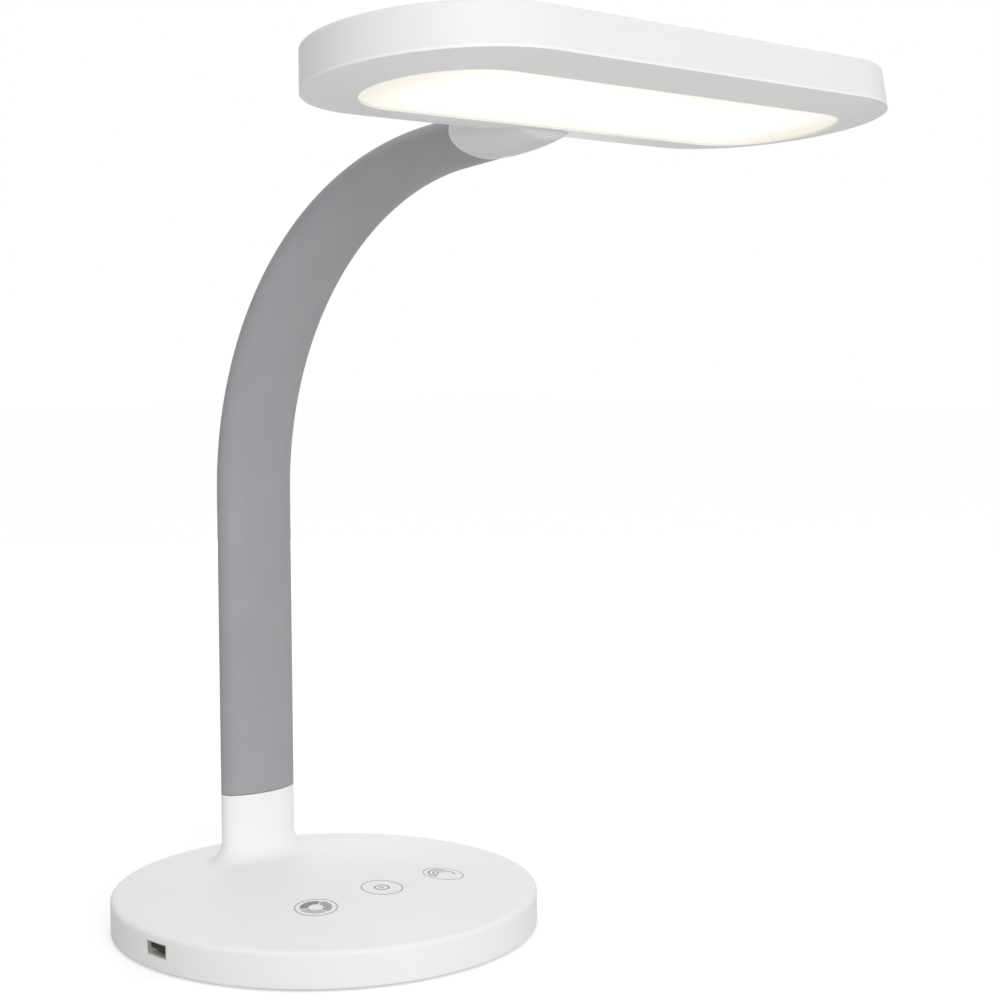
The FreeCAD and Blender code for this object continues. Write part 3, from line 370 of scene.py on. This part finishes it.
finishByNode = {
    whiteAbs: ["head_housing"],
    bezelLitAbs: ["head_bezel"],
    collarShadedAbs: ["head_collar"],
    coverLitAbs: ["base_cover"],
    plateAbs: ["base_plate"],
    windowOpal: ["diffuser"],
    padFoam: ["foot_pad"],
    touchFoam: ["touch_pads"],
    neckSilicone: ["neck_sleeve"],
    leadPvc: ["neck_lead"],
    zincSteel: ["ballast_plate", "neck_anchor", "neck_end_fitting"],
    windingSteel: ["flex_tube_base", "flex_tube_head"] + [f"flex_tube_{i}" for i in range(1, 8)],
    screwSteel: ["base_screws", "anchor_screws", "board_screws", "spreader_screws", "tongue_screws"],
    spreaderSheet: ["heat_spreader"],
    whiteLaminate: ["led_bar_front", "led_bar_rear"],
    greenLaminate: ["control_board", "usb_board"],
    chipPhosphor: ["led_chips"],
    socketNickel: ["usb_shell", "dc_jack_pin"],
    socketPlastic: ["dc_jack", "usb_tongue"],
    reflectorFilm: ["reflector_sheet"],
    guideAcrylic: ["light_guide"],
}
for material, names in finishByNode.items():
    for name in names:
        cadNodes[name].data.materials.clear()
        cadNodes[name].data.materials.append(material)
print("finishes on the CAD nodes")

# ---- neck sleeve and the lead inside it, one closed piece of each for each bending point

sleeve = {
    "halfWide": 19.85 * mm, "halfThick": 9.3 * mm, "around": 96,
    "footY": 48.5 * mm, "footZ": 53 * mm, "straightTop": 191.2 * mm,
    "bendRadius": 148.6 * mm, "bendAngle": math.radians(82.8), "endRun": 22.3 * mm,
    "endGap": 0.2 * mm, "rimRound": 0.3 * mm, "ringStep": 2.4 * mm,
    "seamRing": 0.25 * mm,      # a ring this near to each end keeps the seam's shading flat
    "blendMargin": 1.5 * mm,    # stays unturned at the outer end of a run's first and last piece
    "seamShare": 1 / 3,         # share of a piece's turn that lies past a seam inside a run
    "tuckLong": 1.2 * mm,       # how far a piece reaches into the next
    "tuckDeep": 0.08 * mm,      # how far that tuck lies under the surface
    "slack": 0.001 * mm,
}
lead = {
    "halfWide": 1.3 * mm, "halfThick": 1.3 * mm, "around": 24,
    "below": 43 * mm, "past": 30 * mm,      # how far it reaches beyond the sleeve's two ends
}


def neckFrame(s):
    # frame of the neck's section, s metres along the sleeve from the stem's top
    v = sleeve
    straight = v["straightTop"] - v["footZ"]
    angle = min(max((s - straight) / v["bendRadius"], 0), v["bendAngle"])
    past = max(s - straight - v["bendRadius"] * v["bendAngle"], 0)
    y = v["footY"] - v["bendRadius"] * (1 - math.cos(angle)) - past * math.sin(angle)
    z = v["footZ"] + min(s, straight) + v["bendRadius"] * math.sin(angle) + past * math.cos(angle)
    return Matrix.Translation((0, y, z)) @ Matrix.Rotation(angle, 4, "X")


def alongNeck(point):
    # how far along the sleeve a hinge lies
    v = sleeve
    if point.z <= v["straightTop"] + v["slack"]:
        return point.z - v["footZ"]
    angle = math.asin((point.z - v["straightTop"]) / v["bendRadius"])
    if point.y < v["footY"] - v["bendRadius"]:
        angle = math.pi - angle
    return v["straightTop"] - v["footZ"] + v["bendRadius"] * angle


def growRing(bm, ring):
    # grows a band of faces of no height from the open rim; gives its new edges and points
    grown = bmesh.ops.extrude_edge_only(bm, edges=ring)["geom"]
    return ([x for x in grown if isinstance(x, bmesh.types.BMEdge)],
            [x for x in grown if isinstance(x, bmesh.types.BMVert)])


def drawRing(bm, ring, before, after):
    # draws the open rim along the neck from one station to another
    ring, moved = growRing(bm, ring)
    step = neckFrame(after) @ neckFrame(before).inverted()
    bmesh.ops.transform(bm, matrix=step, verts=moved)
    return ring


def neckPiece(name, low, high, section, material, rimRound=(0, 0), tucked=False):
    # closed oval bar along the neck's middle line; rimRound holds the rounding of its two ends,
    # and a tucked one reaches a little way into the next
    v = sleeve
    halfWide, halfThick = section["halfWide"], section["halfThick"]
    count = max(2, round((high - low) / v["ringStep"]))
    stations = [low, low + v["seamRing"]]
    stations += [low + (high - low) * i / count for i in range(1, count)]
    stations += [high - v["seamRing"], high]
    bm = bmesh.new()
    bmesh.ops.create_circle(bm, segments=section["around"], radius=1)
    bmesh.ops.scale(bm, vec=(halfWide, halfThick, 1), verts=bm.verts)
    bmesh.ops.transform(bm, matrix=neckFrame(low), verts=bm.verts)
    ring = list(bm.edges)
    lowRim = list(ring)
    for before, after in zip(stations, stations[1:]):
        ring = drawRing(bm, ring, before, after)
    if tucked:
        ring, moved = growRing(bm, ring)
        shrink = (1 - v["tuckDeep"] / halfWide, 1 - v["tuckDeep"] / halfThick, 1)
        bmesh.ops.scale(bm, vec=shrink, space=neckFrame(high).inverted(), verts=moved)
        ring = drawRing(bm, ring, high, high + v["tuckLong"])
    bmesh.ops.holes_fill(bm, edges=lowRim)
    bmesh.ops.holes_fill(bm, edges=ring)
    for rim, size in zip((lowRim, ring), rimRound):
        if size:
            bmesh.ops.bevel(bm, geom=rim, offset=size, affect="EDGES", segments=3, profile=0.5,
                            material=-1)
    bmesh.ops.recalc_face_normals(bm, faces=bm.faces)
    return finishPiece(bm, name, [material])


def finishPiece(bm, name, materials, sharpDeg=35):
    for face in bm.faces:
        face.smooth = True
    for edge in bm.edges:
        if len(edge.link_faces) == 2 and edge.calc_face_angle() > math.radians(sharpDeg):
            edge.smooth = False
    mesh = bpy.data.meshes.new(name)
    bm.to_mesh(mesh)
    bm.free()
    for material in materials:
        mesh.materials.append(material)
    piece = bpy.data.objects.new(name, mesh)
    scene.collection.objects.link(piece)
    return piece


def dressNeck():
    v = sleeve
    total = v["straightTop"] - v["footZ"] + v["bendRadius"] * v["bendAngle"] + v["endRun"]
    hinges = sorted((alongNeck(Vector(j["pos_m"])), j["name"].split("_bend")[0], j["parent"], j["child"])
                    for j in frame["joints"])
    stations = [hinge[0] for hinge in hinges]
    halfway = [(a + b) / 2 for a, b in zip(stations, stations[1:])]
    cuts = [v["endGap"], *halfway, total - v["endGap"]]
    last = len(hinges) - 1
    for i, (s, run, lower, upper) in enumerate(hinges):
        low, high = cuts[i], cuts[i + 1]
        rims = (v["rimRound"] if i == 0 else 0, v["rimRound"] if i == last else 0)
        leadLow = -lead["below"] if i == 0 else low
        leadHigh = total + lead["past"] if i == last else high
        skin = neckPiece(f"sleeve_{i + 1}", low, high, sleeve, neckSilicone, rims, tucked=i < last)
        core = neckPiece(f"lead_{i + 1}", leadLow, leadHigh, lead, leadPvc)
        for piece in (skin, core):
            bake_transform(piece)
        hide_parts("neck_sleeve")
        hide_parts("neck_lead")


dressNeck()
print("neck sleeve and lead made")

# ---- signs printed on the three touch fields

touchMarks = {
    "inkThick": 0.04 * mm,      # real ink is 0.01 mm, thicker here so that it shows
    "inkSunk": 0.1 * mm,        # how far the ink's underside reaches into the cover
    "places": ((-36.4 * mm, -37.5 * mm), (0.3 * mm, -37.9 * mm), (36.9 * mm, -37.9 * mm)),
    "fieldRadius": 9.0 * mm, "fieldLine": 0.42 * mm, "stepDeg": 5,      # stepDeg is one facet of an arc
}
baseTop = {"rimRadius": 95 * mm, "rimHeight": 16.2 * mm, "rise": 8.4 * mm}
warmthSign = {      # a ring in three greys, for the three light colours
    "radius": 5.05 * mm, "width": 3.7 * mm, "firstDeg": 37, "sweepDeg": 112, "pitchDeg": 120,
    "slots": (1, 3, 2)}
powerSign = {       # an open ring with a bar in its gap
    "radius": 3.1 * mm, "width": 0.75 * mm, "openDeg": 58, "barLow": -1.1 * mm, "barHigh": 3.3 * mm}
brightnessSign = {  # arcs that shrink towards the middle, and a short one opposite
    "radii": (6.5 * mm, 4.5 * mm, 2.7 * mm), "widths": (0.9 * mm, 0.8 * mm, 0.75 * mm),
    "firstDeg": (42, 24, 30), "sweepDeg": (158, 170, 150),
    "farRadius": 5.4 * mm, "farWidth": 0.85 * mm, "farFirstDeg": -32, "farSweepDeg": 62}


def addArc(bm, centre, radius, width, firstDeg, sweepDeg):
    # flat strip bent round a centre
    start = math.radians(firstDeg)
    out = Vector((math.cos(start), math.sin(start), 0))
    ends = [bm.verts.new(centre + out * (radius + side * width / 2)) for side in (-1, 1)]
    edge = bm.edges.new(ends)
    bmesh.ops.spin(bm, geom=[*ends, edge], cent=centre, axis=(0, 0, 1), dvec=(0, 0, 0),
                   angle=math.radians(sweepDeg), steps=max(2, round(sweepDeg / touchMarks["stepDeg"])),
                   use_merge=sweepDeg == 360)


def addBar(bm, centre, width, low, high):
    grid = bmesh.ops.create_grid(bm, x_segments=1, y_segments=1, size=0.5)["verts"]
    bmesh.ops.scale(bm, vec=(width, high - low, 1), verts=grid)
    bmesh.ops.translate(bm, vec=centre + Vector((0, (low + high) / 2, 0)), verts=grid)


def crownHeight(x, y):
    # height of the base's crowned top, part of a large ball
    v = baseTop
    ball = (v["rimRadius"] ** 2 + v["rise"] ** 2) / (2 * v["rise"])
    return v["rimHeight"] + v["rise"] - ball + math.sqrt(ball ** 2 - x ** 2 - y ** 2)


def inkPiece(name, draw, inks):
    # draws one sign flat, gives the ink its thickness and lays it on the base's crown
    bm = bmesh.new()
    draw(bm)
    flat = list(bm.faces)
    grown = bmesh.ops.extrude_face_region(bm, geom=flat)["geom"]
    raised = [x for x in grown if isinstance(x, bmesh.types.BMVert)]
    bmesh.ops.translate(bm, vec=(0, 0, touchMarks["inkThick"] + touchMarks["inkSunk"]), verts=raised)
    for vert in bm.verts:
        vert.co.z += crownHeight(vert.co.x, vert.co.y) - touchMarks["inkSunk"]
    bmesh.ops.recalc_face_normals(bm, faces=bm.faces)
    piece = finishPiece(bm, name, inks)
    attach(piece, "base")
    return piece


def fieldCentre(index):
    return Vector((*touchMarks["places"][index], 0))


def addFieldLine(bm, centre):
    addArc(bm, centre, touchMarks["fieldRadius"], touchMarks["fieldLine"], 0, 360)


def drawWarmth(bm):
    centre, v = fieldCentre(0), warmthSign
    addFieldLine(bm, centre)
    for i, slot in enumerate(v["slots"]):
        before = set(bm.faces)
        addArc(bm, centre, v["radius"], v["width"], v["firstDeg"] + i * v["pitchDeg"], v["sweepDeg"])
        for face in set(bm.faces) - before:
            face.material_index = slot


def drawPower(bm):
    centre, v = fieldCentre(1), powerSign
    addFieldLine(bm, centre)
    addArc(bm, centre, v["radius"], v["width"], 90 + v["openDeg"] / 2, 360 - v["openDeg"])
    addBar(bm, centre, v["width"], v["barLow"], v["barHigh"])


def drawBrightness(bm):
    centre, v = fieldCentre(2), brightnessSign
    addFieldLine(bm, centre)
    for radius, width, first, sweep in zip(v["radii"], v["widths"], v["firstDeg"], v["sweepDeg"]):
        addArc(bm, centre, radius, width, first, sweep)
    addArc(bm, centre, v["farRadius"], v["farWidth"], v["farFirstDeg"], v["farSweepDeg"])


inkPiece("warmth_sign", drawWarmth, [lineInk, darkInk, midInk, paleInk])
inkPiece("power_sign", drawPower, [darkInk])
inkPiece("brightness_sign", drawBrightness, [lineInk])
print("touch signs printed")

# ---- contacts inside the charging socket

usbContacts = {
    "mouthX": -94.4 * mm, "y": -4.4 * mm, "tongueLow": 9.4 * mm, "start": 2.2 * mm, "length": 8.4 * mm,
    "width": 1.1 * mm, "thick": 0.14 * mm, "places": (-3.5 * mm, -1.0 * mm, 1.0 * mm, 3.5 * mm),
    "round": 0.04 * mm,
}


def makeContacts():
    v = usbContacts
    bm = bmesh.new()
    for place in v["places"]:
        strip = bmesh.ops.create_cube(bm, size=1)["verts"]
        bmesh.ops.scale(bm, vec=(v["length"], v["width"], v["thick"]), verts=strip)
        bmesh.ops.translate(bm, verts=strip, vec=(
            v["mouthX"] + v["start"] + v["length"] / 2, v["y"] + place, v["tongueLow"] - v["thick"] / 2))
    bmesh.ops.bevel(bm, geom=list(bm.edges), offset=v["round"], affect="EDGES", segments=2, profile=0.5,
                    material=-1)
    piece = finishPiece(bm, "usb_contacts", [contactGold])
    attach(piece, "base")


makeContacts()
print("socket contacts made")

# ---- floor and light

floorLook = {"half": 6.0, "colour": "D6D6D6", "cameraLift": 0.475}     # only the camera sees the lift
worldLook = {
    "colour": "FFFFFF", "background": 1.0, "ambient": 0.54,
    "walls": [  # direction, strength: sides of the studio that throw more light than the rest, or less
        ((0, 0, 1), 0.36),
        ((0.638, 0.77, 0), 0.12),
        ((-0.94, 0.34, 0), -0.17),
    ],
}
lampLooks = [
    # name, place, size, watts: soft boxes of a small studio
    ("keyBox", (-0.85, -1.83, 0.5), 0.6, 12.5),
    ("backBox", (1.1, 1.3, 0.25), 0.8, 3.0),
]
lampAim = Vector((0, -0.05, 0.2))


def makeFloor():
    bm = bmesh.new()
    bmesh.ops.create_grid(bm, x_segments=1, y_segments=1, size=floorLook["half"])
    mesh = bpy.data.meshes.new("studioFloor")
    bm.to_mesh(mesh)
    bm.free()
    floor = bpy.data.objects.new("studioFloor", mesh)
    scene.collection.objects.link(floor)
    material = bpy.data.materials.new("paleStudioPaper")
    material.use_nodes = True
    tree = material.node_tree
    tree.nodes.clear()
    paper = addNode(tree, "ShaderNodeBsdfDiffuse", {"Color": linearColour(floorLook["colour"])})
    lift = addNode(tree, "ShaderNodeEmission", {"Strength": floorLook["cameraLift"]})
    both = addNode(tree, "ShaderNodeAddShader")
    tree.links.new(paper.outputs["BSDF"], both.inputs[0])
    tree.links.new(lift.outputs["Emission"], both.inputs[1])
    seen = addNode(tree, "ShaderNodeLightPath")
    mix = addNode(tree, "ShaderNodeMixShader", {"Fac": seen.outputs["Is Camera Ray"]})
    tree.links.new(paper.outputs["BSDF"], mix.inputs[1])
    tree.links.new(both.outputs["Shader"], mix.inputs[2])
    addNode(tree, "ShaderNodeOutputMaterial", {"Surface": mix.outputs["Shader"]})
    mesh.materials.append(material)


def makeWorld():
    world = bpy.data.worlds.new("studioWorld")
    world.use_nodes = True
    tree = world.node_tree
    tree.nodes.clear()
    place = addNode(tree, "ShaderNodeTexCoord")
    ambient = worldLook["ambient"]
    for direction, strength in worldLook["walls"]:
        facing = addNode(tree, "ShaderNodeVectorMath", {
            0: place.outputs["Generated"], 1: Vector(direction).normalized()}, operation="DOT_PRODUCT")
        above = addNode(tree, "ShaderNodeMath", {0: facing.outputs["Value"], 1: 0.0},
                        operation="MAXIMUM")
        added = addNode(tree, "ShaderNodeMath", {0: above.outputs["Value"], 1: strength, 2: ambient},
                        operation="MULTIPLY_ADD")
        ambient = added.outputs["Value"]
    path = addNode(tree, "ShaderNodeLightPath")
    seen = addNode(tree, "ShaderNodeMath", {
        0: path.outputs["Is Camera Ray"], 1: path.outputs["Is Transmission Ray"]}, operation="MAXIMUM")
    strength = addNode(tree, "ShaderNodeMapRange", {
        "Value": seen.outputs["Value"], "To Min": ambient, "To Max": worldLook["background"]})
    light = addNode(tree, "ShaderNodeBackground", {
        "Color": linearColour(worldLook["colour"]), "Strength": strength.outputs["Result"]})
    addNode(tree, "ShaderNodeOutputWorld", {"Surface": light.outputs["Background"]})
    scene.world = world


def makeLamps():
    for name, place, size, watts in lampLooks:
        data = bpy.data.lights.new(name, "AREA")
        data.shape = "DISK"
        data.size = size
        data.energy = watts
        lamp = bpy.data.objects.new(name, data)
        scene.collection.objects.link(lamp)
        lamp.location = place
        lamp.rotation_euler = (lampAim - Vector(place)).to_track_quat("-Z", "Y").to_euler()


makeFloor()
makeWorld()
makeLamps()
scene.view_settings.view_transform = "Standard"
print("floor, world and lamps set")
